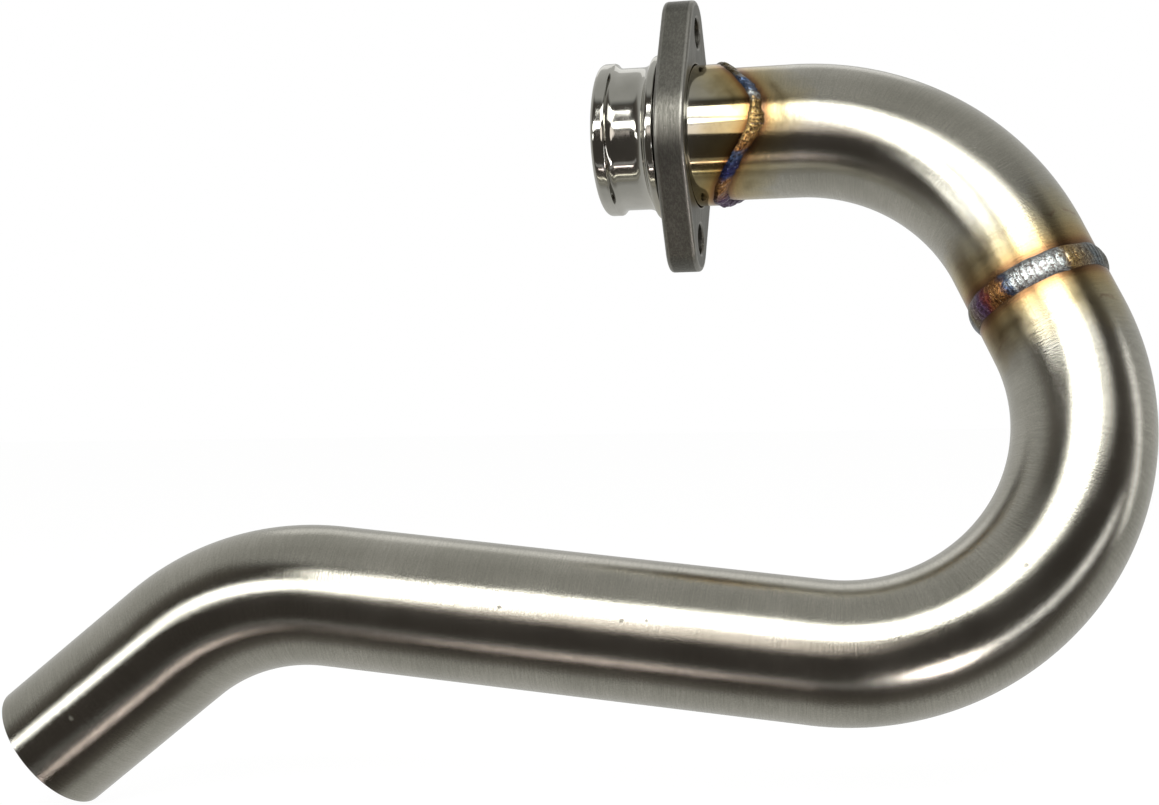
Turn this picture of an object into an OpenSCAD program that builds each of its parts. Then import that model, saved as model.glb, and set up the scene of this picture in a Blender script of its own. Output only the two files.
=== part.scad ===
// Motorcycle exhaust header: a turned port collar, a loose two-bolt flange on it,
// and a bent tube in two lengths that are welded end to end.
// X runs along the collar's axis, away from the cylinder head. Z runs along the flange's long axis.
// The origin is on that axis, in the middle of the collar's locating lip.

/* [Tube] */
// Outside diameter of the tube
tube_od = 38.1; // [34:0.1:39]
// Wall of the tube
tube_wall = 1.2; // [0.8:0.1:2.5]
// Straight start of the head tube, from its stop in the collar's socket
head_run = 31.8; // [27:0.1:60]
// Centreline radius of the first bend
head_bend_r = 68.1; // [50:0.1:100]
// Angle of the first bend
head_bend_angle = 65.1; // [30:0.1:90]
// Turn of the first bend's plane about the collar's axis, towards the near side
head_roll = 16; // [-30:0.1:30]
// Straight length between the first and second bends, half of it on each side of the joint
mid_run = 25.5; // [16:0.1:60]
// Further turn of the second bend's plane
low_roll = 6.5; // [-20:0.1:20]
// Centreline radius of the second bend
low_bend_r = 63.3; // [50:0.1:90]
// Angle of the second bend
low_bend_angle = 119.8; // [90:0.1:130]
// Long straight run under the engine
long_run = 131.4; // [60:0.1:260]
// Further turn of the last bend's plane
rear_roll = 21.8; // [-30:0.1:40]
// Centreline radius of the last bend
rear_bend_r = 63.3; // [50:0.1:90]
// Angle of the last bend
rear_bend_angle = 44.2; // [10:0.1:80]
// Straight outlet that the next pipe slips over
outlet_run = 48.3; // [20:0.1:90]

/* [Port collar] */
// Wall of the socket that takes the tube
socket_wall = 1.25; // [1:0.05:3]
// Height of the neck above the socket
neck_rise = 0.3; // [0.1:0.1:1]
// Height of the lip, which enters the exhaust port, above the neck
lip_rise = 1.5; // [1:0.1:3]
// Width of the lip with its rounded front edge
lip_w = 4; // [3:0.1:8]
// Radius of the lip's front edge
lip_round = 1.4; // [0.4:0.1:1.8]
// Length of the cove behind the lip
lip_cove_w = 2.3; // [1.8:0.1:4]
// Length of the straight part of the neck
neck_w = 5.9; // [3:0.1:15]
// Length of the cove in front of the flange seat
seat_cove_w = 4; // [3.4:0.1:8]
// Height above the neck of the shoulder that the flange pulls against
seat_rise = 3.1; // [2.5:0.1:5]
// Width of the shoulder's rim
seat_w = 2.1; // [1.2:0.1:6]
// Distance from the flange seat to the stop that the tube's end meets
stop_depth = 6; // [2:0.1:12]
// Distance from the flange seat to the shortest part of the socket's saddle cut
socket_short = 15.5; // [14:0.1:20]
// How much further the two tongues of the saddle cut reach
saddle_depth = 13.4; // [6:0.1:15]
// Turn of the tongues about the axis, from the near side up
saddle_roll = 12; // [-90:1:90]

/* [Flange] */
// Thickness of the loose flange
flange_t = 9; // [6:0.1:11]
// Distance between the two stud holes
stud_spacing = 60; // [56:0.1:80]
// Diameter of each stud hole
stud_hole_d = 9; // [6:0.1:11]
// Radius of each lug's end
lug_r = 9.5; // [8:0.1:14]
// How far the flange's round middle reaches past the shoulder
flange_over = 0.2; // [0:0.1:4]
// Radius of the flange's outer edges
flange_round = 1; // [0.3:0.1:2]

/* [Welds] */
// Width of the bead round the middle joint
mid_bead_w = 7.5; // [4:0.1:12]
// Height of that bead above the tube
mid_bead_h = 1.1; // [0.5:0.1:2]
// Width of the bead round the socket's saddle cut
collar_bead_w = 4.2; // [3:0.1:7]
// Height of that bead above the socket
collar_bead_h = 0.8; // [0.3:0.1:1.5]

/* [Hidden] */

// Clearances: flange round the socket, flange to its seat, tube in the socket, bead to its parents
flange_gap = 0.4;
seat_gap = 0.3;
slip_gap = 0.1;
bead_gap = 0.03;
// Gap between the collar's bead and the socket's cut end, which its flat steps round
bead_end_gap = 0.45;
// Clamp marks at the ends of the bends
mark_w = 1.6;
mark_h = 0.06;
// Each bend's own arc starts and ends this far inside its clamp marks
mark_inset = 0.4;
// Length by which a cutting solid passes the faces that it cuts
over = 2;
$fn = 96;

tube_r = tube_od / 2;
tube_id = tube_od - 2 * tube_wall;
socket_r = tube_r + slip_gap + socket_wall;
neck_r = socket_r + neck_rise;
lip_r = neck_r + lip_rise;
seat_r = neck_r + seat_rise;
flange_mid_r = seat_r + flange_over;

// Stations along the collar's axis
lip_land = lip_w - lip_round;
lip_front = -lip_land / 2 - lip_round;
lip_rear = lip_land / 2;
neck_start = lip_rear + lip_cove_w;
neck_end = neck_start + neck_w;
seat_front = neck_end + seat_cove_w;
seat_x = seat_front + seat_w;
stop_x = seat_x + stop_depth;

// The saddle cut is a cross cylinder, as wide as gives the tongues their depth at the socket's wall
saddle_r = (pow(saddle_depth, 2) + pow(socket_r, 2)) / (2 * saddle_depth);
saddle_x = seat_x + socket_short + saddle_r;
// The tongues end in a small flat
tongue_flat = 0.6;
tongue_x = seat_x + socket_short + saddle_depth - tongue_flat;

// Where the cut meets the radius rho, at the angle phi up from the near side
function saddle_cut(rho, phi) =
    min(tongue_x, saddle_x - sqrt(pow(saddle_r, 2) - pow(rho * cos(phi - saddle_roll), 2)));

// A cove that leaves the neck smoothly and rises by h over the width w is an arc of this radius
function cove_r(w, h) = (w * w + h * h) / (2 * h);

// Collar

module collar_profile() {
    lip_cove = cove_r(lip_cove_w, lip_r - neck_r);
    seat_cove = cove_r(seat_cove_w, seat_r - neck_r);
    difference() {
        union() {
            // Lip with its rounded front edge
            translate([0, lip_front]) square([lip_r - lip_round, lip_w]);
            translate([0, lip_front + lip_round]) square([lip_r, lip_land]);
            translate([lip_r - lip_round, lip_front + lip_round]) circle(lip_round);
            // Blanks of the two coves, the neck and the shoulder
            translate([0, lip_rear]) square([lip_r, lip_cove_w]);
            translate([0, neck_start]) square([neck_r, neck_w]);
            translate([0, neck_end]) square([seat_r, seat_cove_w + seat_w]);
            translate([0, seat_x]) square([socket_r, tongue_x - seat_x]);
        }
        translate([neck_r + lip_cove, neck_start]) circle(lip_cove);
        translate([neck_r + seat_cove, neck_end]) circle(seat_cove);
        // Gas way, and the socket for the tube
        translate([-over, lip_front - over]) square([tube_id / 2 + over, tongue_x - lip_front + 2 * over]);
        translate([-over, stop_x]) square([tube_r + slip_gap + over, tongue_x - stop_x + over]);
    }
}

module flange_collar() {
    color("#b9b6ae")
    difference() {
        rotate([0, 90, 0]) rotate_extrude() collar_profile();
        rotate([-saddle_roll, 0, 0]) translate([saddle_x, 0, 0])
            cylinder(r = saddle_r, h = 6 * socket_r, center = true);
    }
}

// Flange

// A flat disc with both edges rounded
module rounded_disc(r) {
    rotate_extrude() {
        translate([0, flange_round]) square([r, flange_t - 2 * flange_round]);
        square([r - flange_round, flange_t]);
        for (h = [flange_round, flange_t - flange_round])
            translate([r - flange_round, h]) circle(flange_round);
    }
}

// One straight flank of the flange, from the middle disc to a lug, with rounded edges.
// It is drawn with its outer face along x, and its material on the side of -y.
module flank(len, width) {
    rotate([90, 0, 90])
    linear_extrude(len)
    union() {
        translate([-width, 0]) square([width - flange_round, flange_t]);
        translate([-flange_round - over, flange_round]) square([flange_round + over, flange_t - 2 * flange_round]);
        for (h = [flange_round, flange_t - flange_round])
            translate([-flange_round, h]) circle(flange_round);
    }
}

module flange_blank() {
    // The flank touches the middle disc and the lug at this angle
    lean = asin((flange_mid_r - lug_r) / (stud_spacing / 2));
    flank_len = stud_spacing / 2 * cos(lean);
    rounded_disc(flange_mid_r);
    for (side = [0, 180]) rotate(side) {
        translate([0, stud_spacing / 2, 0]) rounded_disc(lug_r);
        for (flip = [0, 1]) mirror([flip, 0, 0])
            rotate(90 + lean) translate([0, -flange_mid_r, 0]) mirror([0, 1, 0])
                flank(flank_len, lug_r);
        // Core between the flanks
        linear_extrude(flange_t)
            polygon([
                [-(flange_mid_r - lug_r) * cos(lean), 0],
                [(flange_mid_r - lug_r) * cos(lean), 0],
                [0, stud_spacing / 2]
            ]);
    }
}

module swivel_flange() {
    color("#6b6862")
    translate([seat_x + seat_gap, 0, 0]) rotate([90, 0, 90])
    difference() {
        flange_blank();
        translate([0, 0, -over]) cylinder(r = socket_r + flange_gap, h = flange_t + 2 * over);
        for (y = [-1, 1] * stud_spacing / 2)
            translate([0, y, -over]) cylinder(d = stud_hole_d, h = flange_t + 2 * over);
    }
}

// Tubes, laid out as a bender's table: each step starts at the origin and runs along x

module tube_ring() {
    difference() {
        circle(d = tube_od);
        circle(d = tube_id);
    }
}

// The slight band that the bender's clamp leaves at each end of a bend, outside and inside the wall.
// It also carries the bend's arc over to the straight run beside it.
module clamp_mark() {
    translate([-mark_w / 2, 0, 0]) rotate([0, 90, 0]) linear_extrude(mark_w)
        difference() {
            circle(d = tube_od + 2 * mark_h);
            circle(d = tube_id - 2 * mark_h);
        }
}

module run(len) {
    rotate([0, 90, 0]) linear_extrude(len) tube_ring();
}

// A bend turns from x towards -z
module bend(r, angle) {
    inset = mark_inset / r * 180 / PI;
    translate([0, 0, -r]) rotate([-90, -90, 0]) rotate(inset)
        rotate_extrude(angle = angle - 2 * inset) translate([r, 0]) tube_ring();
    clamp_mark();
    after_bend(r, angle) clamp_mark();
}

module after_run(len) {
    translate([len, 0, 0]) children();
}

module after_bend(r, angle) {
    translate([r * sin(angle), 0, -r * (1 - cos(angle))]) rotate([0, angle, 0]) children();
}

module roll(angle) {
    rotate([-angle, 0, 0]) children();
}

// Carries its children to the joint in the middle of the run between the first two bends
module at_mid_joint() {
    after_run(stop_x + head_run) roll(head_roll) after_bend(head_bend_r, head_bend_angle)
        after_run(mid_run / 2) children();
}

module head_tube() {
    color("#9a978c") {
        after_run(stop_x) run(head_run);
        after_run(stop_x + head_run) roll(head_roll) {
            bend(head_bend_r, head_bend_angle);
            after_bend(head_bend_r, head_bend_angle) run(mid_run / 2);
        }
    }
}

module main_tube() {
    color("#9a978c")
    at_mid_joint() {
        run(mid_run / 2);
        after_run(mid_run / 2) roll(low_roll) {
            bend(low_bend_r, low_bend_angle);
            after_bend(low_bend_r, low_bend_angle) {
                run(long_run);
                // The last bend turns the other way
                after_run(long_run) roll(rear_roll + 180) {
                    bend(rear_bend_r, rear_bend_angle);
                    after_bend(rear_bend_r, rear_bend_angle) run(outlet_run);
                }
            }
        }
    }
}

// Welds

module mid_weld() {
    arc_r = (pow(mid_bead_w / 2, 2) + pow(mid_bead_h, 2)) / (2 * mid_bead_h);
    color("#8a6f52")
    at_mid_joint() rotate([0, 90, 0]) rotate_extrude()
        intersection() {
            translate([tube_r + mid_bead_h - arc_r, 0]) circle(arc_r);
            translate([tube_r, -mid_bead_w]) square([2 * mid_bead_h, 2 * mid_bead_w]);
        }
}

// The collar's bead follows the saddle cut round the tube.
// Each section starts in the corner of tube and socket, and goes over the socket's edge down to the tube.
bead_steps = 96;
bead_arc = 7;
// Flat sides of the swept bead stay outside the round tube and socket
bead_out = 1 / cos(180 / bead_steps);
bead_tube_r = tube_r * bead_out + bead_gap;
bead_socket_r = socket_r * bead_out + bead_gap;
// Share of the bead's width that lies on the socket
bead_share = 0.3;
bead_back = collar_bead_w * bead_share;
bead_front = collar_bead_w * (1 - bead_share);

function bead_point(rho, shift, phi) =
    [saddle_cut(rho, phi) + shift, -rho * cos(phi), rho * sin(phi)];

// Points of one section: the corner, the socket's edge, then the crown from back to front
function bead_section(phi) = concat(
    [bead_point(bead_tube_r, bead_end_gap, phi), bead_point(bead_socket_r, bead_end_gap, phi)],
    [for (i = [0 : bead_arc])
        let (
            t = i / bead_arc,
            foot = t < bead_share ? bead_socket_r
                : bead_socket_r + (bead_tube_r - bead_socket_r) * (t - bead_share) / (1 - bead_share),
            rho = foot + collar_bead_h * sin(180 * t)
        )
        [
            saddle_cut(bead_socket_r, phi) - bead_back + t * collar_bead_w,
            -rho * cos(phi),
            rho * sin(phi)
        ]]
);

module collar_weld() {
    ring = bead_arc + 3;
    points = [for (s = [0 : bead_steps - 1]) each bead_section(s * 360 / bead_steps)];
    faces = [
        for (s = [0 : bead_steps - 1])
        for (i = [0 : ring - 1])
        let (
            a = s * ring + i,
            b = s * ring + (i + 1) % ring,
            c = ((s + 1) % bead_steps) * ring + (i + 1) % ring,
            d = ((s + 1) % bead_steps) * ring + i
        )
        each [[a, b, c], [a, c, d]]
    ];
    color("#8a6f52") polyhedron(points, faces);
}

flange_collar();
swivel_flange();
head_tube();
main_tube();
collar_weld();
mid_weld();
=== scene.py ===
import math
import bpy
import bmesh
from mathutils import Matrix, Vector, noise


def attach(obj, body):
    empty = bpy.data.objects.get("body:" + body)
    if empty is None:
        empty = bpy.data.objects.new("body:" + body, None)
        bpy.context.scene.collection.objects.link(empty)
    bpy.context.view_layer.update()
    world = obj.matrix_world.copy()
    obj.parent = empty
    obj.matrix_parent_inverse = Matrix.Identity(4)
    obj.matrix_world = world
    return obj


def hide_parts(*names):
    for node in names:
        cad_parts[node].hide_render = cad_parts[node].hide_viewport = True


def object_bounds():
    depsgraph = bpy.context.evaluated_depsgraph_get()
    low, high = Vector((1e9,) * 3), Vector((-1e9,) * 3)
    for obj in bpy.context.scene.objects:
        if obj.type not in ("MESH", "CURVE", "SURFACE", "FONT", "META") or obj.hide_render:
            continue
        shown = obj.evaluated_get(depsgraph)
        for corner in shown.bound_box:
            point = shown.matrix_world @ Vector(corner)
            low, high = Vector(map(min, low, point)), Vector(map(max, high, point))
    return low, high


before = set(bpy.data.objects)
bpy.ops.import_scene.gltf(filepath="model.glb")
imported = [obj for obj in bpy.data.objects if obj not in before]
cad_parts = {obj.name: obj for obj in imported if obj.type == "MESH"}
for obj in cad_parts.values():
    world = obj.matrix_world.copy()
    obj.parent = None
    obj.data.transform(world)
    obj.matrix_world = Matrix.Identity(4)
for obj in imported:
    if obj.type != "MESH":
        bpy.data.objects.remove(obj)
cad_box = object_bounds()
MM = 0.001

# Sizes of the header in millimetres, as in the part's source
tube_r = 19.05
tube_wall = 1.2
head_run = 31.8
head_bend_r = 68.1
head_bend_angle = 65.1
head_roll = 16
mid_run = 25.5
low_roll = 6.5
low_bend_r = 63.3
low_bend_angle = 119.8
long_run = 131.4
rear_roll = 21.8
rear_bend_r = 63.3
rear_bend_angle = 44.2
outlet_run = 48.3
clamp_w = 1.6
clamp_h = 0.06
clamp_share = 0.25
wave_depth = 0.03
mouth_round = 0.25

lip_r = 22.2
lip_w = 4
lip_round = 1.4
lip_cove_w = 2.3
neck_r = 20.7
neck_w = 5.9
seat_cove_w = 4
seat_r = 23.8
seat_w = 2.1
socket_r = 20.4
stop_depth = 6
socket_short = 15.5
saddle_depth = 13.4
saddle_roll = 12
tongue_flat = 0.6
slip_gap = 0.1

flange_t = 9
stud_spacing = 60
stud_hole_r = 4.5
lug_r = 9.5
flange_mid_r = 24
flange_round = 1
flange_gap = 0.4
seat_gap = 0.3

mid_bead_w = 7.5
mid_bead_h = 1.1
collar_bead_w = 4.2
collar_bead_h = 0.8
mid_ripples = 58
collar_ripples = 70
bead_share = 0.3
bead_lift = 0.02
bead_corner_gap = 0.05

bore_r = tube_r - tube_wall
lip_land = lip_w - lip_round
lip_front = -lip_land / 2 - lip_round
lip_rear = lip_land / 2
neck_start = lip_rear + lip_cove_w
neck_end = neck_start + neck_w
seat_front = neck_end + seat_cove_w
seat_x = seat_front + seat_w
stop_x = seat_x + stop_depth
flange_x = seat_x + seat_gap
saddle_r = (saddle_depth ** 2 + socket_r ** 2) / (2 * saddle_depth)
saddle_x = seat_x + socket_short + saddle_r
tongue_x = seat_x + socket_short + saddle_depth - tongue_flat

# Mesh density, and the angle in degrees from which an edge is sharp
round_steps = 144
flange_steps = 144
ring_step = 1.6
bore_step = 4.0
sharp_angle = 42

# A distance so far from any weld or clamp that it leaves no trace
far_off = 99.0

# Camera, from the photograph: its place, its turn to the left of straight on, its tilt, and its lens
eye = Vector((128.8, -561.2, -77.0)) * MM
eye_turn = math.radians(14.13)
eye_tilt = math.radians(-1.01)
lens = 60.71
sensor_w = 36
photo_w = 1159
photo_h = 805


def spread(low, high, count):
    return [low + (high - low) * i / count for i in range(count + 1)]


def arc(centre, radius, start, end, count):
    """Points (x, r) on an arc of the collar's section, by angle in degrees."""
    angles = [math.radians(a) for a in spread(start, end, count)]
    return [(centre[0] + radius * math.cos(a), centre[1] + radius * math.sin(a)) for a in angles]


# Camera

def set_camera():
    data = bpy.data.cameras.new("camera")
    data.lens = lens
    data.sensor_width = sensor_w
    data.clip_start = 0.01
    data.clip_end = 50
    camera = bpy.data.objects.new("camera", data)
    aim = Matrix.Rotation(eye_turn, 4, "Z") @ Matrix.Rotation(math.pi / 2, 4, "X")
    camera.matrix_world = Matrix.Translation(eye) @ aim @ Matrix.Rotation(eye_tilt, 4, "Z")
    bpy.context.scene.collection.objects.link(camera)
    bpy.context.scene.camera = camera
    return camera


def through_pixel(camera, x, y):
    """Direction from the camera through a point of the photograph, in its pixels."""
    half = sensor_w / 2 / lens
    across = (x / photo_w - 0.5) * 2 * half
    up = (0.5 - y / photo_h) * 2 * half * photo_h / photo_w
    return (camera.matrix_world.to_3x3() @ Vector((across, up, -1))).normalized()


# Pieces

class Spot:
    """One corner of a mesh: its place, its place on the straightened tube, its weld distances, its wear and
    painted shade.

    Wear and shade is 1 on a rubbed edge and below zero inside a bore, where it marks painted shade; on a weld
    bead it holds the ripple height, which marks painted shade in the ripple valleys.
    """

    def __init__(self, place, unbent=None, heat=(far_off, far_off, 0), wear_and_shade=0.0):
        self.place = Vector(place)
        self.unbent = Vector(unbent if unbent is not None else place)
        self.heat = Vector(heat)
        self.wear_and_shade = wear_and_shade


def add_piece(name, spots, faces, material, body, nodes):
    mesh = bpy.data.meshes.new(name)
    mesh.from_pydata([s.place * MM for s in spots], [], faces)
    for label, kind, read in (
        ("unbent", "FLOAT_VECTOR", lambda s: s.unbent),
        ("weld_far", "FLOAT_VECTOR", lambda s: s.heat),
        ("wear_and_shade", "FLOAT", lambda s: (s.wear_and_shade,)),
    ):
        layer = mesh.attributes.new(label, kind, "POINT")
        values = [number for s in spots for number in read(s)]
        layer.data.foreach_set("vector" if kind == "FLOAT_VECTOR" else "value", values)
    work = bmesh.new()
    work.from_mesh(mesh)
    bmesh.ops.recalc_face_normals(work, faces=work.faces)
    work.to_mesh(mesh)
    work.free()
    mesh.shade_smooth()
    mesh.set_sharp_from_angle(angle=math.radians(sharp_angle))
    mesh.materials.append(material)
    piece = bpy.data.objects.new(name, mesh)
    bpy.context.scene.collection.objects.link(piece)
    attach(piece, body)
    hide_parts(*nodes)


def wrapped_faces(rows, around, first=0):
    """Quads of a skin that closes both ways, such as a tube's two walls with their rims."""
    faces = []
    for i in range(rows):
        for j in range(around):
            a = i * around + j
            b = i * around + (j + 1) % around
            c = (i + 1) % rows * around + (j + 1) % around
            d = (i + 1) % rows * around + j
            faces.append([first + n for n in (a, b, c, d)])
    return faces


# Way of the tube

class Way:
    """Walks along the tube's centreline and keeps a stop for each ring of the skin."""

    def __init__(self, place, along):
        self.place = place
        self.along = along
        self.turned = 0.0
        self.stops = []
        self.clamps = []

    def keep(self):
        self.stops.append((self.place.copy(), self.turned, self.along))

    def roll(self, angle):
        self.place = self.place @ Matrix.Rotation(math.radians(-angle), 4, "X")
        self.turned += math.radians(angle)

    def run(self, length):
        count = max(2, round(length / ring_step))
        for _ in range(count):
            self.place = self.place @ Matrix.Translation((length / count, 0, 0))
            self.along += length / count
            self.keep()

    def bend(self, radius, angle):
        self.clamps.append(self.along)
        length = radius * math.radians(angle)
        count = round(length / ring_step)
        step = math.radians(angle) / count
        move = Matrix.Translation((radius * math.sin(step), 0, -radius * (1 - math.cos(step))))
        for _ in range(count):
            self.place = self.place @ move @ Matrix.Rotation(step, 4, "Y")
            self.along += length / count
            self.keep()
        self.clamps.append(self.along)


def saddle_cut(rho, phi):
    """Where the socket's end is cut, at the radius rho and the angle phi up from the near side."""
    swing = rho * math.cos(phi - math.radians(saddle_roll))
    return min(tongue_x, saddle_x - math.sqrt(saddle_r ** 2 - swing ** 2))


def wall_radius(radius, along, clamps, unbent):
    """Tube radius with the slight bands of the bender's clamps and the soft waves of a bent wall."""
    near = min([abs(along - c) for c in clamps] + [far_off])
    band = clamp_h * math.exp(-(near / clamp_w) ** 2) * clamp_share
    wave = noise.noise(Vector(unbent) * 0.045) * 0.5 - 0.5
    outward = 1 if radius > bore_r + 0.3 else -1
    return radius + (band + wave_depth * wave) * outward


def tube_piece(name, way, start, end, heat_of, material, node):
    """A tube's skin from the stops of its way: outer wall, mouth, bore, and the rim where it began."""
    sections = []
    stops = [s for s in way.stops if start - 0.01 <= s[2] <= end + 0.01]
    rim = mouth_round
    last = len(stops) - 1
    every = round(bore_step / ring_step)
    for i, stop in enumerate(stops):
        edge = i in (0, last)
        sections.append((stop, tube_r - (rim if edge else 0), 0.0, 1.0 if edge else 0.0))
        if edge:
            inward = rim if i == 0 else -rim
            side = (stop, tube_r, inward, 0.6)
            sections.insert(len(sections) - (1 if i == last else 0), side)
    # The bore's rings get a value below zero, the mark for painted shade inside the bore.
    for i in [last] + list(range(last - every, 0, -every)) + [0]:
        edge = i in (0, last)
        sections.append((stops[i], bore_r + (rim if edge else 0), 0.0, 1.0 if edge else -1.0))
        if edge:
            inward = rim if i == 0 else -rim
            side = (stops[i], bore_r, inward, -0.4)
            sections.insert(len(sections) - (1 if i == 0 else 0), side)
    spots = []
    for (place, turned, along), radius, inward, wear_and_shade in sections:
        for j in range(round_steps):
            phi = 2 * math.pi * j / round_steps
            flat = Vector((along + inward, -math.cos(phi), math.sin(phi)))
            unbent = Vector((flat.x, flat.y * tube_r, flat.z * tube_r))
            r = wall_radius(radius, along, way.clamps, unbent)
            own = phi - turned
            local = Vector((inward, -r * math.cos(own), r * math.sin(own)))
            spots.append(Spot(place @ local, unbent, heat_of(flat.x, phi), wear_and_shade))
    add_piece(name, spots, wrapped_faces(len(sections), round_steps), material,
              "header_pipe", [node])


def spot_on_tube(way, ray):
    """Place on the straightened tube of the nearest skin point that a ray from the eye meets."""
    off_ray_weight = 4
    best = None
    for place, turned, along in way.stops:
        centre = place.translation * MM - eye
        if centre.cross(ray).length > tube_r * MM:
            continue
        for j in range(round_steps):
            phi = 2 * math.pi * j / round_steps
            own = phi - turned
            point = (place @ Vector((0, -tube_r * math.cos(own), tube_r * math.sin(own)))) * MM - eye
            score = point.cross(ray).length * off_ray_weight + point.dot(ray)
            if best is None or score < best[0]:
                best = (score, Vector((along, -tube_r * math.cos(phi), tube_r * math.sin(phi))))
    return best[1]


# Shader helpers

def node(tree, kind, inputs=None, **settings):
    made = tree.nodes.new(kind)
    for key, value in settings.items():
        setattr(made, key, value)
    for key, value in (inputs or {}).items():
        socket = made.inputs[key]
        if isinstance(value, bpy.types.NodeSocket):
            tree.links.new(value, socket)
        else:
            socket.default_value = value
    return made


def calc(tree, operation, first, second=0.0, third=0.0, clamp=False):
    values = {0: first, 1: second}
    if operation == "MULTIPLY_ADD":
        values[2] = third
    return node(tree, "ShaderNodeMath", values, operation=operation, use_clamp=clamp).outputs[0]


def blend(tree, factor, first, second, kind="MIX"):
    mix = node(tree, "ShaderNodeMix", {0: factor, 6: first, 7: second}, data_type="RGBA", blend_type=kind)
    return mix.outputs[2]


def ranged(tree, value, low, high, to_low=0.0, to_high=1.0):
    values = {0: value, 1: low, 2: high, 3: to_low, 4: to_high}
    return node(tree, "ShaderNodeMapRange", values, interpolation_type="SMOOTHSTEP").outputs[0]


def ramp(tree, value, stops):
    made = node(tree, "ShaderNodeValToRGB", {0: value})
    elements = made.color_ramp.elements
    while len(elements) < len(stops):
        elements.new(0.5)
    for element, (place, colour) in zip(elements, stops):
        element.position = place
        element.color = (*colour, 1)
    return made.outputs[0]


def grain(tree, place, stretch, scale, detail=3.0, rough=0.6):
    """Noise that is drawn out along the given stretch of the straightened tube."""
    drawn = node(tree, "ShaderNodeVectorMath", {0: place, 1: stretch}, operation="MULTIPLY").outputs[0]
    values = {"Vector": drawn, "Scale": scale, "Detail": detail, "Roughness": rough}
    return node(tree, "ShaderNodeTexNoise", values).outputs[0]


def attribute(tree, name, output="Vector"):
    return node(tree, "ShaderNodeAttribute", attribute_name=name).outputs[output]


def new_group(name, inputs, outputs):
    group = bpy.data.node_groups.new(name, "ShaderNodeTree")
    kinds = {"value": "NodeSocketFloat", "vector": "NodeSocketVector", "colour": "NodeSocketColor"}
    for label, kind, default in inputs:
        socket = group.interface.new_socket(label, in_out="INPUT", socket_type=kinds[kind])
        if default is not None:
            socket.default_value = default
    for label, kind in outputs:
        group.interface.new_socket(label, in_out="OUTPUT", socket_type=kinds[kind])
    start = group.nodes.new("NodeGroupInput").outputs
    end = group.nodes.new("NodeGroupOutput").inputs
    return group, start, end


def use_group(tree, group, inputs):
    made = tree.nodes.new("ShaderNodeGroup")
    made.node_tree = group
    for key, value in inputs.items():
        if isinstance(value, bpy.types.NodeSocket):
            tree.links.new(value, made.inputs[key])
        else:
            made.inputs[key].default_value = value
    return made.outputs


# Effects that several finishes share

def make_brushing():
    """Fine lines round the work, with a soft grain between them."""
    group, start, end = new_group(
        "brushing",
        [("Place", "vector", None), ("Lines", "value", 1.0), ("Grit", "value", 1.0)],
        [("Height", "value"), ("Shade", "value")],
    )
    lines = grain(group, start["Place"], (1.0, 0.05, 0.05), 2.6, 4.0, 0.7)
    grit = grain(group, start["Place"], (1.0, 1.0, 1.0), 2.2, 3.0, 0.75)
    lined = calc(group, "MULTIPLY", calc(group, "SUBTRACT", lines, 0.5), start["Lines"])
    gritty = calc(group, "MULTIPLY", calc(group, "SUBTRACT", grit, 0.5), start["Grit"])
    total = calc(group, "ADD", lined, gritty)
    group.links.new(total, end["Height"])
    group.links.new(calc(group, "MULTIPLY_ADD", total, 1.1, 0.5, clamp=True), end["Shade"])
    return group


def make_patches():
    """Slow cloudy change over the metal, and small pale flecks."""
    group, start, end = new_group(
        "patches",
        [("Place", "vector", None), ("Size", "value", 20.0)],
        [("Cloud", "value"), ("Fleck", "value")],
    )
    scale = calc(group, "DIVIDE", 1.0, start["Size"])
    values = {"Vector": start["Place"], "Scale": scale, "Detail": 3.0, "Roughness": 0.55}
    cloud = node(group, "ShaderNodeTexNoise", values).outputs[0]
    group.links.new(ranged(group, cloud, 0.3, 0.7), end["Cloud"])
    fine = node(group, "ShaderNodeTexNoise", {"Vector": start["Place"], "Scale": 1.3, "Detail": 2.0})
    group.links.new(ranged(group, fine.outputs[0], 0.66, 0.78), end["Fleck"])
    return group


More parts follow.
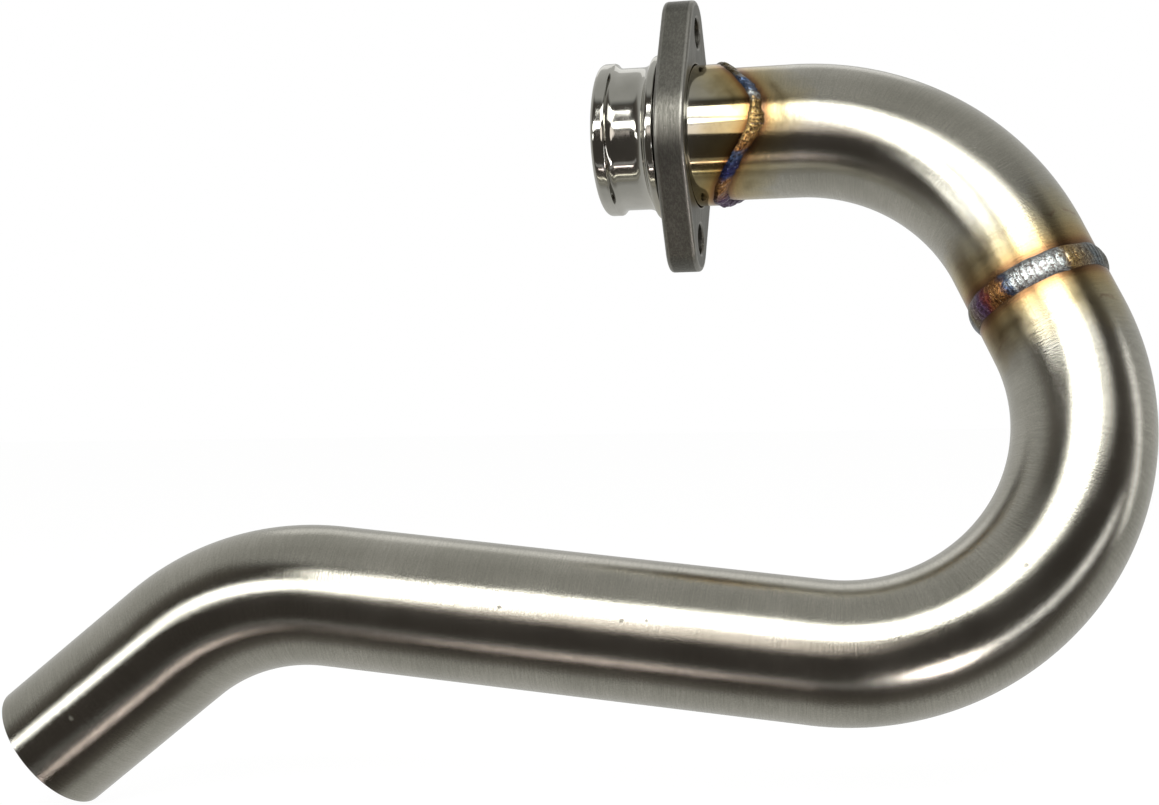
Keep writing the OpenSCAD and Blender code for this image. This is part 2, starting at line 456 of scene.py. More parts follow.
def make_heat_tint():
    """Colours that heat leaves beside a weld: broad straw, brown blotches, and a thin dark line in places."""
    group, start, end = new_group(
        "heat_tint",
        [("Place", "vector", None), ("Far", "value", far_off), ("Reach", "value", 20.0),
         ("Blotch", "value", 1.0), ("Line", "value", 1.0)],
        [("Colour", "colour")],
    )
    wave = grain(group, start["Place"], (1.0, 1.0, 1.0), 0.13, 3.0, 0.6)
    slow = grain(group, start["Place"], (0.4, 1.0, 1.0), 0.07, 2.0, 0.5)
    shift = calc(group, "MULTIPLY_ADD", wave, 0.8, calc(group, "MULTIPLY_ADD", slow, 0.7, 0.25))
    share = calc(group, "DIVIDE", calc(group, "MULTIPLY", start["Far"], shift), start["Reach"])
    straw = ramp(group, share, [
        (0.00, (0.34, 0.20, 0.13)),
        (0.05, (0.62, 0.36, 0.18)),
        (0.13, (0.92, 0.68, 0.36)),
        (0.32, (0.97, 0.84, 0.56)),
        (0.55, (0.97, 0.90, 0.72)),
        (0.80, (0.99, 0.96, 0.88)),
        (1.00, (1.00, 1.00, 1.00)),
    ])
    blot_at = [(0.22, (0, 0, 0)), (0.36, (1, 1, 1)), (0.50, (0, 0, 0))]
    blot = calc(group, "MULTIPLY", ramp(group, share, blot_at), ranged(group, slow, 0.50, 0.64))
    blot = calc(group, "MULTIPLY", blot, start["Blotch"], clamp=True)
    tinted = blend(group, calc(group, "MULTIPLY", blot, 0.75), straw, (0.50, 0.40, 0.24, 1))
    line_at = [(0.46, (0, 0, 0)), (0.50, (1, 1, 1)), (0.54, (0, 0, 0))]
    line = calc(group, "MULTIPLY", ramp(group, share, line_at), ranged(group, wave, 0.45, 0.62))
    line = calc(group, "MULTIPLY", line, start["Line"], clamp=True)
    tinted = blend(group, calc(group, "MULTIPLY", line, 0.6), tinted, (0.52, 0.32, 0.24, 1))
    group.links.new(tinted, end["Colour"])
    return group


def make_edge_wear():
    """Where an edge has been rubbed bright, broken up by the grain of the metal."""
    group, start, end = new_group(
        "edge_wear",
        [("Place", "vector", None), ("Edge", "value", 0.0), ("Amount", "value", 1.0)],
        [("Mask", "value")],
    )
    breakup = grain(group, start["Place"], (1.0, 1.0, 1.0), 0.9, 3.0, 0.6)
    raised = calc(group, "MULTIPLY", start["Edge"], calc(group, "MULTIPLY_ADD", breakup, 0.9, 0.45))
    group.links.new(calc(group, "MULTIPLY", raised, start["Amount"], clamp=True), end["Mask"])
    return group


brushing = make_brushing()
patches = make_patches()
heat_tint = make_heat_tint()
edge_wear = make_edge_wear()


def new_finish(name, roughness):
    material = bpy.data.materials.new(name)
    material.use_nodes = True
    tree = material.node_tree
    shader = tree.nodes["Principled BSDF"]
    shader.inputs["Metallic"].default_value = 1.0
    shader.inputs["Roughness"].default_value = roughness
    return material, tree, shader


def bump(tree, shader, height, strength, depth):
    made = node(tree, "ShaderNodeBump", {"Height": height, "Strength": strength, "Distance": depth * MM})
    tree.links.new(made.outputs[0], shader.inputs["Normal"])


def tube_finish(nicks):
    """Satin stainless tube, tinted beside its welds, with a few nicks."""
    material, tree, shader = new_finish("satin_tube_steel", 0.2)
    place = attribute(tree, "unbent")
    heat = node(tree, "ShaderNodeSeparateXYZ", {0: attribute(tree, "weld_far")}).outputs
    wear_and_shade = attribute(tree, "wear_and_shade", "Fac")
    lines = use_group(tree, brushing, {"Place": place, "Lines": 1.0, "Grit": 1.2})
    patch = use_group(tree, patches, {"Place": place, "Size": 22.0})
    steel = blend(tree, patch["Cloud"], (0.50, 0.485, 0.43, 1), (0.60, 0.58, 0.52, 1))
    steel = blend(tree, calc(tree, "MULTIPLY", lines["Shade"], 0.6), steel, (0.27, 0.26, 0.225, 1))
    steel = blend(tree, calc(tree, "MULTIPLY", patch["Fleck"], 0.3), steel, (0.62, 0.60, 0.55, 1))
    for far, reach, line_share in ((heat[0], 16.0, 0.0), (heat[1], 19.0, 1.0)):
        values = {"Place": place, "Far": far, "Reach": reach, "Blotch": 1.0, "Line": line_share}
        tint = use_group(tree, heat_tint, values)
        steel = blend(tree, 1.0, steel, tint["Colour"], "MULTIPLY")
    along = node(tree, "ShaderNodeSeparateXYZ", {0: place}).outputs[0]
    # Dark brown beside the middle bead, on one side only, a 0.885 turn up from the near side: partly heat
    # oxide, partly painted shade, a dark reflection painted into the colour.
    oxide_and_shade_turn, oxide_and_shade_wide, oxide_and_shade_narrow = 0.885, 0.09, 0.035
    oxide_and_shade_start, oxide_and_shade_full = 26.0, 5.0
    turn_off = calc(tree, "ABSOLUTE", calc(tree, "SUBTRACT", heat[2], oxide_and_shade_turn))
    turn_off = calc(tree, "MULTIPLY_ADD", patch["Cloud"], 0.03, turn_off)
    oxide_and_shade = ranged(tree, heat[1], oxide_and_shade_start, oxide_and_shade_full)
    oxide_and_shade = calc(tree, "MULTIPLY", oxide_and_shade, ranged(tree, turn_off, oxide_and_shade_wide, oxide_and_shade_narrow))
    oxide_and_shade_colour = blend(tree, 1.0, steel, (0.22, 0.17, 0.12, 1), "MULTIPLY")
    steel = blend(tree, calc(tree, "MULTIPLY", oxide_and_shade, 0.85), steel, oxide_and_shade_colour)
    # Painted shade: inside the bore the colour darkens, as shade falling in the tube.
    inside = calc(tree, "LESS_THAN", wear_and_shade, -0.2)
    steel = blend(tree, calc(tree, "MULTIPLY", inside, 0.6), steel, (0.16, 0.145, 0.125, 1))
    rubbed = use_group(tree, edge_wear, {"Place": place, "Edge": wear_and_shade, "Amount": 0.7})
    steel = blend(tree, rubbed["Mask"], steel, (0.62, 0.61, 0.58, 1))
    rough = calc(tree, "MULTIPLY_ADD", lines["Shade"], 0.14, 0.075)
    rough = calc(tree, "MULTIPLY_ADD", patch["Cloud"], 0.04, rough)
    polish_start, polish_end, polish_share = 400.0, 465.0, 0.55
    polish = ranged(tree, along, polish_start, polish_end, 1.0, polish_share)
    rough = calc(tree, "MULTIPLY", rough, polish)
    rough = calc(tree, "MULTIPLY_ADD", inside, 0.2, rough)
    tree.links.new(rough, shader.inputs["Roughness"])
    height = lines["Height"]
    hurt = 0.0
    for spot, size in nicks:
        far = node(tree, "ShaderNodeVectorMath", {0: place, 1: spot}, operation="DISTANCE").outputs["Value"]
        far = calc(tree, "ADD", far, calc(tree, "MULTIPLY", lines["Height"], size * 1.8))
        hurt = calc(tree, "MAXIMUM", hurt, ranged(tree, far, size, size * 0.3))
    tree.links.new(blend(tree, calc(tree, "MULTIPLY", hurt, 0.6), steel, (0.12, 0.11, 0.095, 1)),
                   shader.inputs["Base Color"])
    height = calc(tree, "SUBTRACT", height, calc(tree, "MULTIPLY", hurt, 1.5))
    bump(tree, shader, height, 0.35, 0.07)
    return material


def collar_finish():
    """Polished turned steel, with fine turning lines and a straw tint towards the weld."""
    material, tree, shader = new_finish("polished_collar_steel", 0.06)
    place = attribute(tree, "unbent")
    heat = node(tree, "ShaderNodeSeparateXYZ", {0: attribute(tree, "weld_far")}).outputs
    wear_and_shade = attribute(tree, "wear_and_shade", "Fac")
    lines = use_group(tree, brushing, {"Place": place, "Lines": 0.8, "Grit": 0.25})
    patch = use_group(tree, patches, {"Place": place, "Size": 9.0})
    steel = blend(tree, patch["Cloud"], (0.54, 0.53, 0.49, 1), (0.60, 0.59, 0.55, 1))
    straw = blend(tree, patch["Cloud"], (0.54, 0.50, 0.38, 1), (0.40, 0.36, 0.26, 1))
    steel = blend(tree, ranged(tree, heat[0], 22.0, 9.0), steel, straw)
    values = {"Place": place, "Far": heat[0], "Reach": 13.0, "Blotch": 0.8, "Line": 0.0}
    tint = use_group(tree, heat_tint, values)
    steel = blend(tree, 1.0, steel, tint["Colour"], "MULTIPLY")
    # Painted shade: inside the socket and the bore the colour darkens, as shade falling in the collar.
    inside = calc(tree, "LESS_THAN", wear_and_shade, -0.2)
    steel = blend(tree, calc(tree, "MULTIPLY", inside, 0.5), steel, (0.2, 0.19, 0.17, 1))
    rubbed = use_group(tree, edge_wear, {"Place": place, "Edge": wear_and_shade, "Amount": 0.5})
    steel = blend(tree, rubbed["Mask"], steel, (0.7, 0.69, 0.66, 1))
    tree.links.new(steel, shader.inputs["Base Color"])
    rough = calc(tree, "MULTIPLY_ADD", patch["Cloud"], 0.05, 0.07)
    rough = calc(tree, "MULTIPLY_ADD", inside, 0.3, rough)
    tree.links.new(rough, shader.inputs["Roughness"])
    bump(tree, shader, lines["Height"], 0.12, 0.02)
    return material


def flange_finish():
    """Blasted plate steel with a fine upright grain and rubbed edges."""
    material, tree, shader = new_finish("blasted_flange_steel", 0.42)
    place = attribute(tree, "unbent")
    wear_and_shade = attribute(tree, "wear_and_shade", "Fac")
    fine = grain(tree, place, (1.0, 1.0, 0.07), 1.9, 4.0, 0.75)
    grit = grain(tree, place, (1.0, 1.0, 1.0), 2.4, 4.0, 0.75)
    patch = use_group(tree, patches, {"Place": place, "Size": 14.0})
    steel = blend(tree, patch["Cloud"], (0.178, 0.175, 0.157, 1), (0.235, 0.228, 0.206, 1))
    steel = blend(tree, ranged(tree, fine, 0.35, 0.62, 0.0, 0.6), steel, (0.092, 0.09, 0.08, 1))
    steel = blend(tree, calc(tree, "MULTIPLY", patch["Fleck"], 0.35), steel, (0.4, 0.39, 0.36, 1))
    rubbed = use_group(tree, edge_wear, {"Place": place, "Edge": wear_and_shade, "Amount": 0.6})
    steel = blend(tree, rubbed["Mask"], steel, (0.5, 0.49, 0.46, 1))
    tree.links.new(steel, shader.inputs["Base Color"])
    rough = calc(tree, "MULTIPLY_ADD", fine, 0.16, 0.34)
    rough = calc(tree, "MULTIPLY_ADD", rubbed["Mask"], -0.14, rough)
    tree.links.new(rough, shader.inputs["Roughness"])
    height = calc(tree, "ADD", fine, calc(tree, "MULTIPLY", grit, 0.8))
    bump(tree, shader, height, 0.4, 0.08)
    return material


def bead_finish(name, stops, roughness):
    """Weld metal whose heat colours change along the bead, with painted shade darkening the valleys between
    its ripples.
    """
    material, tree, shader = new_finish(name, roughness)
    place = attribute(tree, "unbent")
    heat = node(tree, "ShaderNodeSeparateXYZ", {0: attribute(tree, "weld_far")}).outputs
    wear_and_shade = attribute(tree, "wear_and_shade", "Fac")
    wave = grain(tree, place, (1.0, 1.0, 1.0), 0.5, 3.0, 0.6)
    round_place = calc(tree, "ADD", heat[2], calc(tree, "MULTIPLY_ADD", wave, 0.05, -0.025))
    colour = ramp(tree, round_place, stops)
    grit = grain(tree, place, (1.0, 1.0, 1.0), 1.2, 4.0, 0.75)
    dark = blend(tree, 1.0, colour, (0.34, 0.27, 0.25, 1), "MULTIPLY")
    pale = blend(tree, 0.35, colour, (0.85, 0.82, 0.74, 1))
    colour = blend(tree, ranged(tree, grit, 0.38, 0.55), dark, colour)
    colour = blend(tree, ranged(tree, grit, 0.58, 0.72), colour, pale)
    # Painted shade: the colour darkens where the ripple height is low, in the ripple valleys and along the
    # bead's edges.
    colour = blend(tree, ranged(tree, wear_and_shade, 0.0, 0.8, 0.6, 0.0), colour, dark)
    tree.links.new(colour, shader.inputs["Base Color"])
    tree.links.new(calc(tree, "MULTIPLY_ADD", grit, 0.2, roughness - 0.1), shader.inputs["Roughness"])
    bump(tree, shader, grit, 0.6, 0.32)
    return material


# Collar

def collar_outline():
    """The collar's section as (x, r, wear and shade), from the gas way round the lip to the socket's cut end.
    """
    lip_cove = (lip_cove_w ** 2 + (lip_r - neck_r) ** 2) / (2 * (lip_r - neck_r))
    seat_cove = (seat_cove_w ** 2 + (seat_r - neck_r) ** 2) / (2 * (seat_r - neck_r))
    lip_swing = math.degrees(math.asin(lip_cove_w / lip_cove))
    seat_swing = math.degrees(math.asin(seat_cove_w / seat_cove))
    small = 0.2
    line = [(lip_front + small, bore_r, -0.3), (lip_front, bore_r + small, 1.0)]
    line += [(lip_front, r, 0.0) for r in spread(bore_r + 0.6, lip_r - lip_round, 4)[:-1]]
    corner = (lip_front + lip_round, lip_r - lip_round)
    line += [(x, r, 0.4) for x, r in arc(corner, lip_round, 180, 90, 8)]
    line += [(x, lip_r, 0.1) for x in spread(lip_front + lip_round, lip_rear - small, 4)[1:]]
    line += [(lip_rear, lip_r - small / 2, 0.8)]
    cove = arc((neck_start, neck_r + lip_cove), lip_cove, 270 - lip_swing, 270, 9)
    line += [(x, r, 0.0) for x, r in cove[1:]]
    line += [(x, neck_r, 0.0) for x in spread(neck_start, neck_end, 6)[1:]]
    cove = arc((neck_end, neck_r + seat_cove), seat_cove, 270, 270 + seat_swing, 10)
    line += [(x, r, 0.0) for x, r in cove[1:-1]]
    line += [(seat_front - small / 2, seat_r - small, 0.7), (seat_front + small, seat_r, 0.5)]
    line += [(x, seat_r, 0.1) for x in spread(seat_front + small, seat_x - small, 3)[1:]]
    line += [(seat_x, seat_r - small, 0.8)]
    line += [(seat_x, r, 0.0) for r in (seat_r - 1, socket_r + 0.3)]
    line += [(seat_x + 0.3, socket_r, 0.0)]
    return line


def collar_piece(material):
    body_line = collar_outline()
    spots = []
    sections = 0
    angles = [2 * math.pi * j / round_steps for j in range(round_steps)]

    def ring(x_of, radius, wear_and_shade):
        for phi in angles:
            x = x_of(phi)
            place = (x, -radius * math.cos(phi), radius * math.sin(phi))
            far = saddle_cut(socket_r, phi) - collar_bead_w * bead_share - x
            spots.append(Spot(place, place, (max(far, 0.0), far_off, 0), wear_and_shade))

    for x, radius, wear_and_shade in body_line:
        ring(lambda phi: x, radius, wear_and_shade)
        sections += 1
    for share in spread(0, 1, 16)[1:]:
        start = seat_x + 0.3
        ring(lambda phi: start + (saddle_cut(socket_r, phi) - start) * share, socket_r, 0.0)
        sections += 1
    # The rings inside the socket and the bore get values below zero, the mark for painted shade inside the
    # collar.
    inner = tube_r + slip_gap
    for share in spread(1, 0, 8):
        ring(lambda phi: stop_x + (saddle_cut(inner, phi) - stop_x) * share, inner, -1.0)
        sections += 1
    for x in (stop_x, stop_x - 0.6):
        ring(lambda phi: x, bore_r if x < stop_x else bore_r + 0.2, -1.0)
        sections += 1
    for x in spread(stop_x - 1, lip_front + 0.6, 8):
        ring(lambda phi: x, bore_r, -0.6)
        sections += 1
    add_piece("flange_collar_turned", spots, wrapped_faces(sections, round_steps), material,
              "header_pipe", ["flange_collar"])


# Flange

def flange_outline(count):
    """Points of the flange's outline as (y, z, outward y, outward z), anticlockwise."""
    lean = math.asin((flange_mid_r - lug_r) / (stud_spacing / 2))
    half = stud_spacing / 2
    points = []

    def sweep(cy, cz, radius, start, end, steps):
        for a in spread(start, end, steps):
            points.append((cy + radius * math.cos(a), cz + radius * math.sin(a), math.cos(a), math.sin(a)))

    def flank(a, b):
        for share in spread(0, 1, 12)[1:-1]:
            points.append(tuple(p + (q - p) * share for p, q in zip(a, b)))

    parts = [
        (0, half, lug_r, lean, math.pi - lean, count // 3),
        (0, 0, flange_mid_r, math.pi - lean, math.pi + lean, count // 4),
        (0, -half, lug_r, math.pi + lean, 2 * math.pi - lean, count // 3),
        (0, 0, flange_mid_r, -lean, lean, count // 4),
    ]
    for i, part in enumerate(parts):
        sweep(*part)
        cy, cz, radius, start = parts[(i + 1) % 4][:4]
        out_y, out_z = math.cos(start), math.sin(start)
        flank(points[-1], (cy + radius * out_y, cz + radius * out_z, out_y, out_z))
    return points


def flange_piece(material):
    outline = flange_outline(flange_steps)
    spots = []
    faces = []
    loops = []

    def belt(rows):
        """Joins rows of equal length and returns the first and last row as fill borders."""
        first = len(spots)
        size = len(rows[0])
        for row in rows:
            spots.extend(row)
        for i in range(len(rows) - 1):
            for j in range(size):
                a = first + i * size + j
                b = first + i * size + (j + 1) % size
                faces.append((a, b, b + size, a + size))
        return [
            [first + j for j in range(size)],
            [first + (len(rows) - 1) * size + j for j in range(size)],
        ]

    def rim_row(x, inset, wear_and_shade):
        row = [(x, y - inset * oy, z - inset * oz) for y, z, oy, oz in outline]
        return [Spot(p, p, (far_off, far_off, 0), wear_and_shade) for p in row]

    def hole_row(x, z, radius, wear_and_shade, steps):
        angles = [2 * math.pi * j / steps for j in range(steps)]
        row = [(x, radius * math.cos(a), z + radius * math.sin(a)) for a in angles]
        return [Spot(p, p, (far_off, far_off, 0), wear_and_shade) for p in row]

    front, back = flange_x, flange_x + flange_t
    turns = [math.radians(a) for a in spread(0, 90, 6)]
    soft = flange_round
    corner = [(soft * (1 - math.sin(a)), soft * (1 - math.cos(a))) for a in turns]
    rows = [rim_row(front, soft + 0.5, 0.0)]
    rows += [rim_row(front + deep, inset, 0.8) for deep, inset in reversed(corner)]
    rows += [rim_row(x, 0.0, 0.0) for x in spread(front + soft + 0.4, back - soft - 0.4, 8)]
    rows += [rim_row(back - deep, inset, 0.9) for deep, inset in corner]
    rows += [rim_row(back, soft + 0.5, 0.0)]
    loops.append(belt(rows))
    holes = [(0.0, socket_r + flange_gap, 128, 0.12)]
    holes += [(side * stud_spacing / 2, stud_hole_r, 64, 0.4) for side in (-1, 1)]
    for z, radius, steps, chamfer in holes:
        plan = [
            (front, radius + chamfer + 0.4, 0.0),
            (front, radius + chamfer, 0.6),
            (front + chamfer, radius, 0.6),
            (front + chamfer + 0.4, radius, 0.0),
            (back - chamfer - 0.4, radius, 0.0),
            (back - chamfer, radius, 0.8),
            (back, radius + chamfer, 0.8),
            (back, radius + chamfer + 0.4, 0.0),
        ]
        loops.append(belt([hole_row(x, z, r, wear_and_shade, steps) for x, r, wear_and_shade in plan]))
    work = bmesh.new()
    corners = [work.verts.new(s.place) for s in spots]
    for end in (0, 1):
        edges = []
        for loop in loops:
            ring = loop[end]
            edges += [work.edges.new((corners[a], corners[b])) for a, b in zip(ring, ring[1:] + ring[:1])]
        filled = bmesh.ops.triangle_fill(work, edges=edges, use_beauty=True)
        work.verts.index_update()
        for face in [g for g in filled["geom"] if isinstance(g, bmesh.types.BMFace)]:
            faces.append([v.index for v in face.verts])
    work.free()
    add_piece("swivel_flange_plate", spots, faces, material,
              "flange", ["swivel_flange"])


# Welds

def ripple(turn, across, count, seed):
    """Height of the overlapping ripples, from 0 in a valley to 1, bowed along the bead."""
    bow = 0.45 * (1 - (2 * across - 1) ** 2)
    wander = 1.2 * noise.noise(Vector((turn * 9, seed, 0)))
    phase = (turn * count + bow + wander) % 1.0
    return (1 - phase) ** 0.7 if phase > 0.12 else phase / 0.12


def lump(phi, across, fineness, seed):
    """Uneven swell of weld metal at the angle phi, from about -1 to 1."""
    spot = Vector((math.cos(phi), math.sin(phi), 0.0)) * fineness
    broad = noise.noise(spot + Vector((0, 0, seed)))
    small = noise.noise(spot * 2.7 + Vector((across * 1.6, 0, seed + 4)))
    return broad * 1.3 + small * 0.9


def mid_bead_piece(place, material):
    """The bead round the joint of the two tubes, swept as a closed section."""
    spots = []
    steps, arc_steps = 720, 18
    base = tube_r + bead_lift
    for i in range(steps):
        turn = i / steps
        phi = 2 * math.pi * turn
        uneven = noise.noise(Vector((math.cos(phi) * 3, math.sin(phi) * 3, 5.0)))
        side = noise.noise(Vector((math.cos(phi) * 4, math.sin(phi) * 4, 9.0)))
        width = mid_bead_w * (0.93 + 0.07 * uneven)
        for j in range(arc_steps + 1):
            across = j / arc_steps
            crown = math.sin(math.pi * across) ** 0.8
            wave = ripple(turn, across, mid_ripples, 1.0)
            swell = lump(phi, across, 5.0, 11.0)
            height = mid_bead_h * crown * min(0.70 + 0.12 * swell + 0.16 * wave, 1.0)
            x = (across - 0.5) * width + 0.25 * side
            r = base + height
            point = place @ Vector((x, -r * math.cos(phi), r * math.sin(phi)))
            flat = (x, -tube_r * math.cos(phi), tube_r * math.sin(phi))
            spots.append(Spot(point, flat, (0, 0, turn), wave * crown))
        for across in (0.66, 0.33):
            x = (across - 0.5) * width + 0.25 * side
            r = base - bead_lift / 2
            point = place @ Vector((x, -r * math.cos(phi), r * math.sin(phi)))
            spots.append(Spot(point, (x, 0, 0), (0, 0, turn), 0.0))
    add_piece("mid_weld_bead", spots, wrapped_faces(steps, arc_steps + 3), material,
              "header_pipe", ["mid_weld"])


def collar_bead_piece(material):
    """The bead along the saddle cut, over the socket's edge and down to the tube."""
    spots = []
    steps, arc_steps = 900, 16
    for i in range(steps):
        turn = i / steps
        phi = 2 * math.pi * turn
        uneven = noise.noise(Vector((math.cos(phi) * 3.5, math.sin(phi) * 3.5, 2.0)))
        side = noise.noise(Vector((math.cos(phi) * 5, math.sin(phi) * 5, 7.0)))
        width = collar_bead_w * (0.97 + 0.3 * uneven + 0.14 * lump(phi, 0, 9.0, 31.0))
        cut = saddle_cut(socket_r, phi)
        for j in range(arc_steps + 1):
            across = j / arc_steps
            foot = socket_r + bead_lift
            if across > bead_share:
                foot += (tube_r - socket_r) * (across - bead_share) / (1 - bead_share)
            crown = math.sin(math.pi * across) ** 0.85
            wave = ripple(turn, across, collar_ripples, 3.0)
            swell = lump(phi, across, 7.5, 23.0)
            rise = collar_bead_h * crown * max(0.25, min(0.66 + 0.42 * swell + 0.16 * wave, 1.08))
            x = cut - width * bead_share + across * width + 0.2 * side
            r = foot + rise
            point = (x, -r * math.cos(phi), r * math.sin(phi))
            spots.append(Spot(point, point, (0, 0, turn), wave * crown))
        r = tube_r + bead_lift
        corner = (saddle_cut(tube_r, phi) + bead_corner_gap, -r * math.cos(phi), r * math.sin(phi))
        spots.append(Spot(corner, corner, (0, 0, turn), 0.0))
    add_piece("collar_weld_bead", spots, wrapped_faces(steps, arc_steps + 2), material,
              "header_pipe", ["collar_weld"])


# Light and ground

def add_lamp(name, place, aim, width, height, level, colour=(1, 1, 1), shape="RECTANGLE", lean=0):
    """A soft box of the given size in metres. Its level is 1 where it looks white; it leans by degrees."""
    data = bpy.data.lights.new(name, "AREA")
    data.shape = shape
    data.size = width
    data.size_y = height
    data.energy = 4 * width * height * level
    data.color = colour
    lamp = bpy.data.objects.new(name, data)
    back = Vector(place) - Vector(aim)
    turned = back.to_track_quat("Z", "Y").to_matrix().to_4x4() @ Matrix.Rotation(math.radians(lean), 4, "Z")
    lamp.matrix_world = Matrix.Translation(place) @ turned
    bpy.context.scene.collection.objects.link(lamp)


def set_room():
    """White behind and below for the eye, and a grey room with a dark near side for the reflections."""
    world = bpy.data.worlds.new("room")
    world.use_nodes = True
    bpy.context.scene.world = world
    tree = world.node_tree
    tree.nodes.clear()
    way = node(tree, "ShaderNodeTexCoord").outputs["Generated"]
    near = (math.sin(eye_turn), -math.cos(eye_turn), 0)
    facing = node(tree, "ShaderNodeVectorMath", {0: way, 1: near}, operation="DOT_PRODUCT").outputs["Value"]
    share = calc(tree, "MULTIPLY_ADD", facing, 0.5, 0.5)
    walls = ramp(tree, share, [
        (0.00, (0.60, 0.60, 0.58)),
        (0.20, (0.56, 0.56, 0.54)),
        (0.50, (0.42, 0.42, 0.40)),
        (0.62, (0.13, 0.12, 0.105)),
        (0.75, (0.065, 0.058, 0.05)),
        (1.00, (0.055, 0.05, 0.045)),
    ])
    up = node(tree, "ShaderNodeSeparateXYZ", {0: way}).outputs[2]
    ceiling = ramp(tree, ranged(tree, up, 0.72, 0.86), [(0, (0, 0, 0)), (1, (0.42, 0.42, 0.40))])
    room = blend(tree, 1.0, walls, ceiling, "LIGHTEN")
    seen = node(tree, "ShaderNodeLightPath").outputs
    white = calc(tree, "ADD", seen["Is Camera Ray"], seen["Is Transmission Ray"], clamp=True)
    colour = blend(tree, white, room, (1, 1, 1, 1))
    sky = node(tree, "ShaderNodeBackground", {"Color": colour, "Strength": 1.0})
    out = node(tree, "ShaderNodeOutputWorld")
    tree.links.new(sky.outputs[0], out.inputs[0])


def set_floor():
    floor_gap = 0.0006
    low = cad_box[0][2] - floor_gap
    reach = 6.0
    mesh = bpy.data.meshes.new("floor")
    corners = [(x, y, low) for x, y in ((-reach, -reach), (reach, -reach), (reach, reach), (-reach, reach))]
    mesh.from_pydata(corners, [], [(0, 1, 2, 3)])
    material = bpy.data.materials.new("white_paper")
    material.use_nodes = True
    tree = material.node_tree
    tree.nodes.clear()
    seen = node(tree, "ShaderNodeLightPath").outputs
    paper = node(tree, "ShaderNodeBsdfDiffuse", {"Color": (0.9, 0.9, 0.9, 1)}).outputs[0]
    glow = node(tree, "ShaderNodeEmission", {"Color": (1, 1, 1, 1), "Strength": 1.065}).outputs[0]
    lit = calc(tree, "ADD", seen["Is Camera Ray"], seen["Is Transmission Ray"], clamp=True)
    mix = node(tree, "ShaderNodeMixShader", {0: calc(tree, "MULTIPLY", lit, 0.9), 1: paper, 2: glow})
    out = node(tree, "ShaderNodeOutputMaterial")
    tree.links.new(mix.outputs[0], out.inputs[0])
    mesh.materials.append(material)
    floor = bpy.data.objects.new("floor", mesh)
    floor.visible_glossy = False
    floor.visible_shadow = False
    bpy.context.scene.collection.objects.link(floor)


def set_lamps():
    heart = Vector((0.0, -0.03, -0.07))
    right = Vector((math.cos(eye_turn), math.sin(eye_turn), 0))
    near = Vector((math.sin(eye_turn), -math.cos(eye_turn), 0))
    up = Vector((0, 0, 1))

    def at(turn, rise, far):
        """A place seen from the header's heart, by degrees to the right and up, and distance in metres."""
        a, e = math.radians(turn), math.radians(rise)
        return heart + far * (math.cos(e) * (math.sin(a) * right + math.cos(a) * near) + math.sin(e) * up)

    def box(name, turn, rise, far, half_wide, half_high, level, colour=(1, 1, 1), **more):
        """A lamp at such a place, with its half width and half height seen under the given degrees."""
        width = 2 * far * math.tan(math.radians(half_wide))
        height = 2 * far * math.tan(math.radians(half_high))
        add_lamp(name, at(turn, rise, far), heart, width, height, level, colour, **more)

    box("key_box", -4, 36, 1.6, 19, 10.5, 5.0, (1.0, 1.0, 0.95), lean=8)
    box("right_window", 28, 36, 1.6, 12, 11, 1.2, (1.0, 1.0, 0.96))
    box("left_window", -38, 17, 1.6, 16, 6.5, 3.5, (1.0, 1.0, 0.96), shape="ELLIPSE", lean=12)
    box("far_window", -56, 3.0, 1.5, 8, 2.8, 5.0, (1.0, 1.0, 0.96), lean=10)
    box("warm_card", -13, 10, 0.62, 12.5, 11.5, 0.85, (1.0, 0.91, 0.84), shape="ELLIPSE")
    add_lamp("low_bar", (0.10, -0.40, -0.46), heart, 1.0, 0.05, 0.2)
    add_lamp("low_left", (-0.11, -0.49, -0.59), (-0.13, -0.03, -0.16), 0.14, 0.022, 4.5, (1.0, 0.86, 0.82))
    add_lamp("low_side", (0.39, -0.51, -0.50), heart, 0.12, 0.07, 18.0, (1.0, 0.90, 0.87))
    slanted = heart + 0.55 * right + 0.60 * near - 0.35 * up
    add_lamp("slanted_strip", slanted, heart, 1.14, 0.05, 3.0, lean=38)
    add_lamp("right_strip", (0.70, 0.04, 0.02), heart, 0.06, 0.5, 1.7)
    add_lamp("rear_box", at(180, 42, 0.9), heart, 0.7, 0.3, 0.35)


camera = set_camera()
bpy.context.scene.view_settings.view_transform = "Standard"

polished = collar_finish()
blasted = flange_finish()

way = Way(Matrix.Translation((stop_x, 0, 0)), stop_x)
way.keep()
way.run(head_run)
way.roll(head_roll)
way.bend(head_bend_r, head_bend_angle)
way.run(mid_run / 2)
joint_at = way.along
joint_place = way.place.copy()
joint_turned = way.turned
way.run(mid_run / 2)
way.roll(low_roll)
way.bend(low_bend_r, low_bend_angle)
way.run(long_run)
way.roll(rear_roll + 180)
way.bend(rear_bend_r, rear_bend_angle)
way.run(outlet_run)

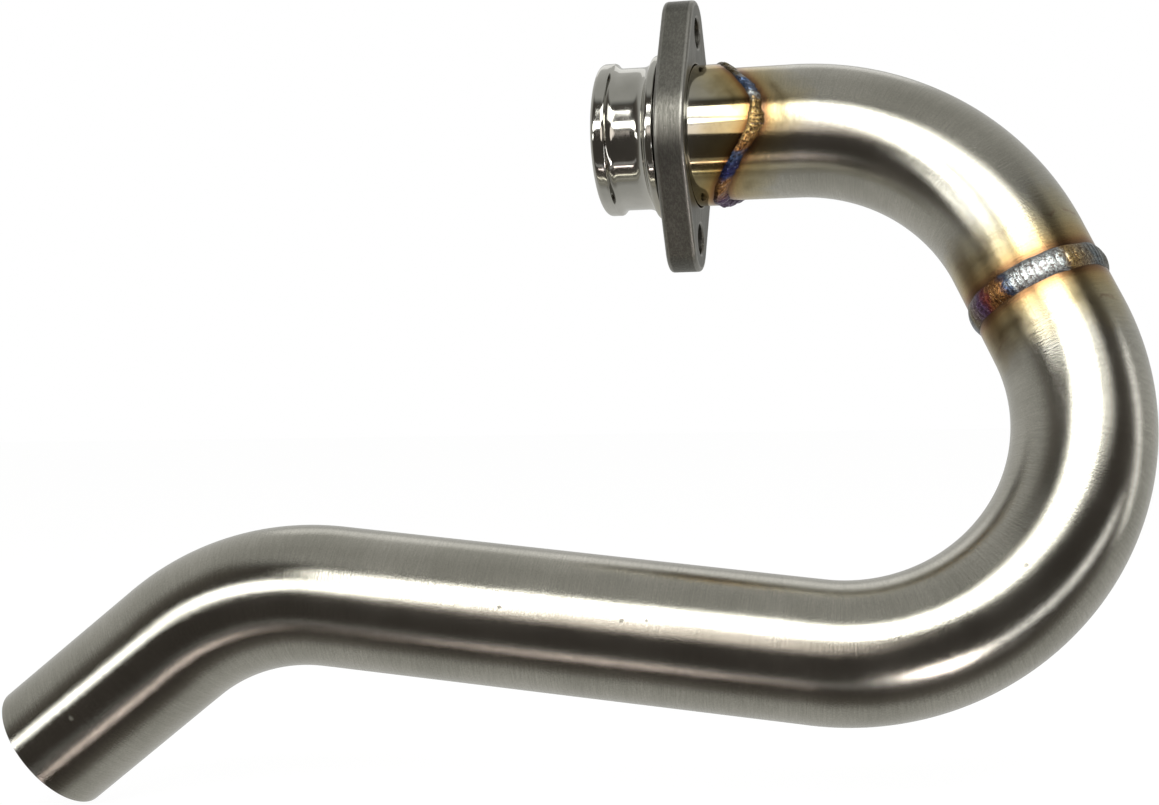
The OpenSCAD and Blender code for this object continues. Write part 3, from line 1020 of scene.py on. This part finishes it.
# Nicks in the skin, by their place in the photograph in its pixels, and their size in millimetres
left_run_nick = (500, 607)
mid_run_nick = (619, 620)
small_run_nick = (645, 622)
low_bend_nick = (1027, 566)
outlet_nick = (70, 720)
nicks_seen = [
    (left_run_nick, 0.6), (mid_run_nick, 0.75), (small_run_nick, 0.5),
    (low_bend_nick, 0.7), (outlet_nick, 0.7),
]
nicks = [(spot_on_tube(way, through_pixel(camera, *seen)), size) for seen, size in nicks_seen]
satin_tube = tube_finish(nicks)


def tube_heat(along, phi):
    """Distances from the collar's bead and from the middle bead, and the turn round the tube."""
    seam = saddle_cut(socket_r, phi) + collar_bead_w * (1 - bead_share)
    far_collar = max(along - seam, 0.0)
    far_joint = max(abs(along - joint_at) - mid_bead_w / 2, 0.0)
    return (far_collar, far_joint, phi / (2 * math.pi))


tube_piece("head_tube_bent", way, stop_x, joint_at, tube_heat, satin_tube, "head_tube")
tube_piece("main_tube_bent", way, joint_at, way.along, tube_heat, satin_tube, "main_tube")
collar_piece(polished)
flange_piece(blasted)

# Heat colours round each bead, by the share of a turn up from the near side
silver = (0.68, 0.75, 0.77)
blue = (0.13, 0.20, 0.36)
indigo = (0.06, 0.07, 0.22)
grey_blue = (0.22, 0.27, 0.30)
gold = (0.62, 0.44, 0.18)
orange = (0.52, 0.27, 0.10)
red = (0.34, 0.08, 0.06)
violet = (0.16, 0.09, 0.20)
olive = (0.24, 0.20, 0.11)
mid_stops = [
    (0.00, silver), (0.10, silver), (0.12, gold), (0.20, grey_blue), (0.30, olive), (0.50, grey_blue),
    (0.74, blue), (0.80, grey_blue), (0.83, olive), (0.885, violet), (0.91, red), (0.925, orange),
    (0.955, orange), (0.968, blue), (0.985, silver),
]
collar_stops = [
    (0.00, gold), (0.05, gold), (0.066, silver), (0.085, blue), (0.115, blue), (0.135, olive), (0.30, olive),
    (0.50, grey_blue), (0.79, violet), (0.83, orange), (0.865, orange), (0.882, indigo), (0.91, indigo),
    (0.93, blue), (0.95, orange), (0.985, gold),
]
joint_frame = joint_place @ Matrix.Rotation(joint_turned, 4, "X")
mid_bead_piece(joint_frame, bead_finish("mid_bead_metal", mid_stops, 0.24))
collar_bead_piece(bead_finish("collar_bead_metal", collar_stops, 0.24))

set_room()
set_floor()
set_lamps()
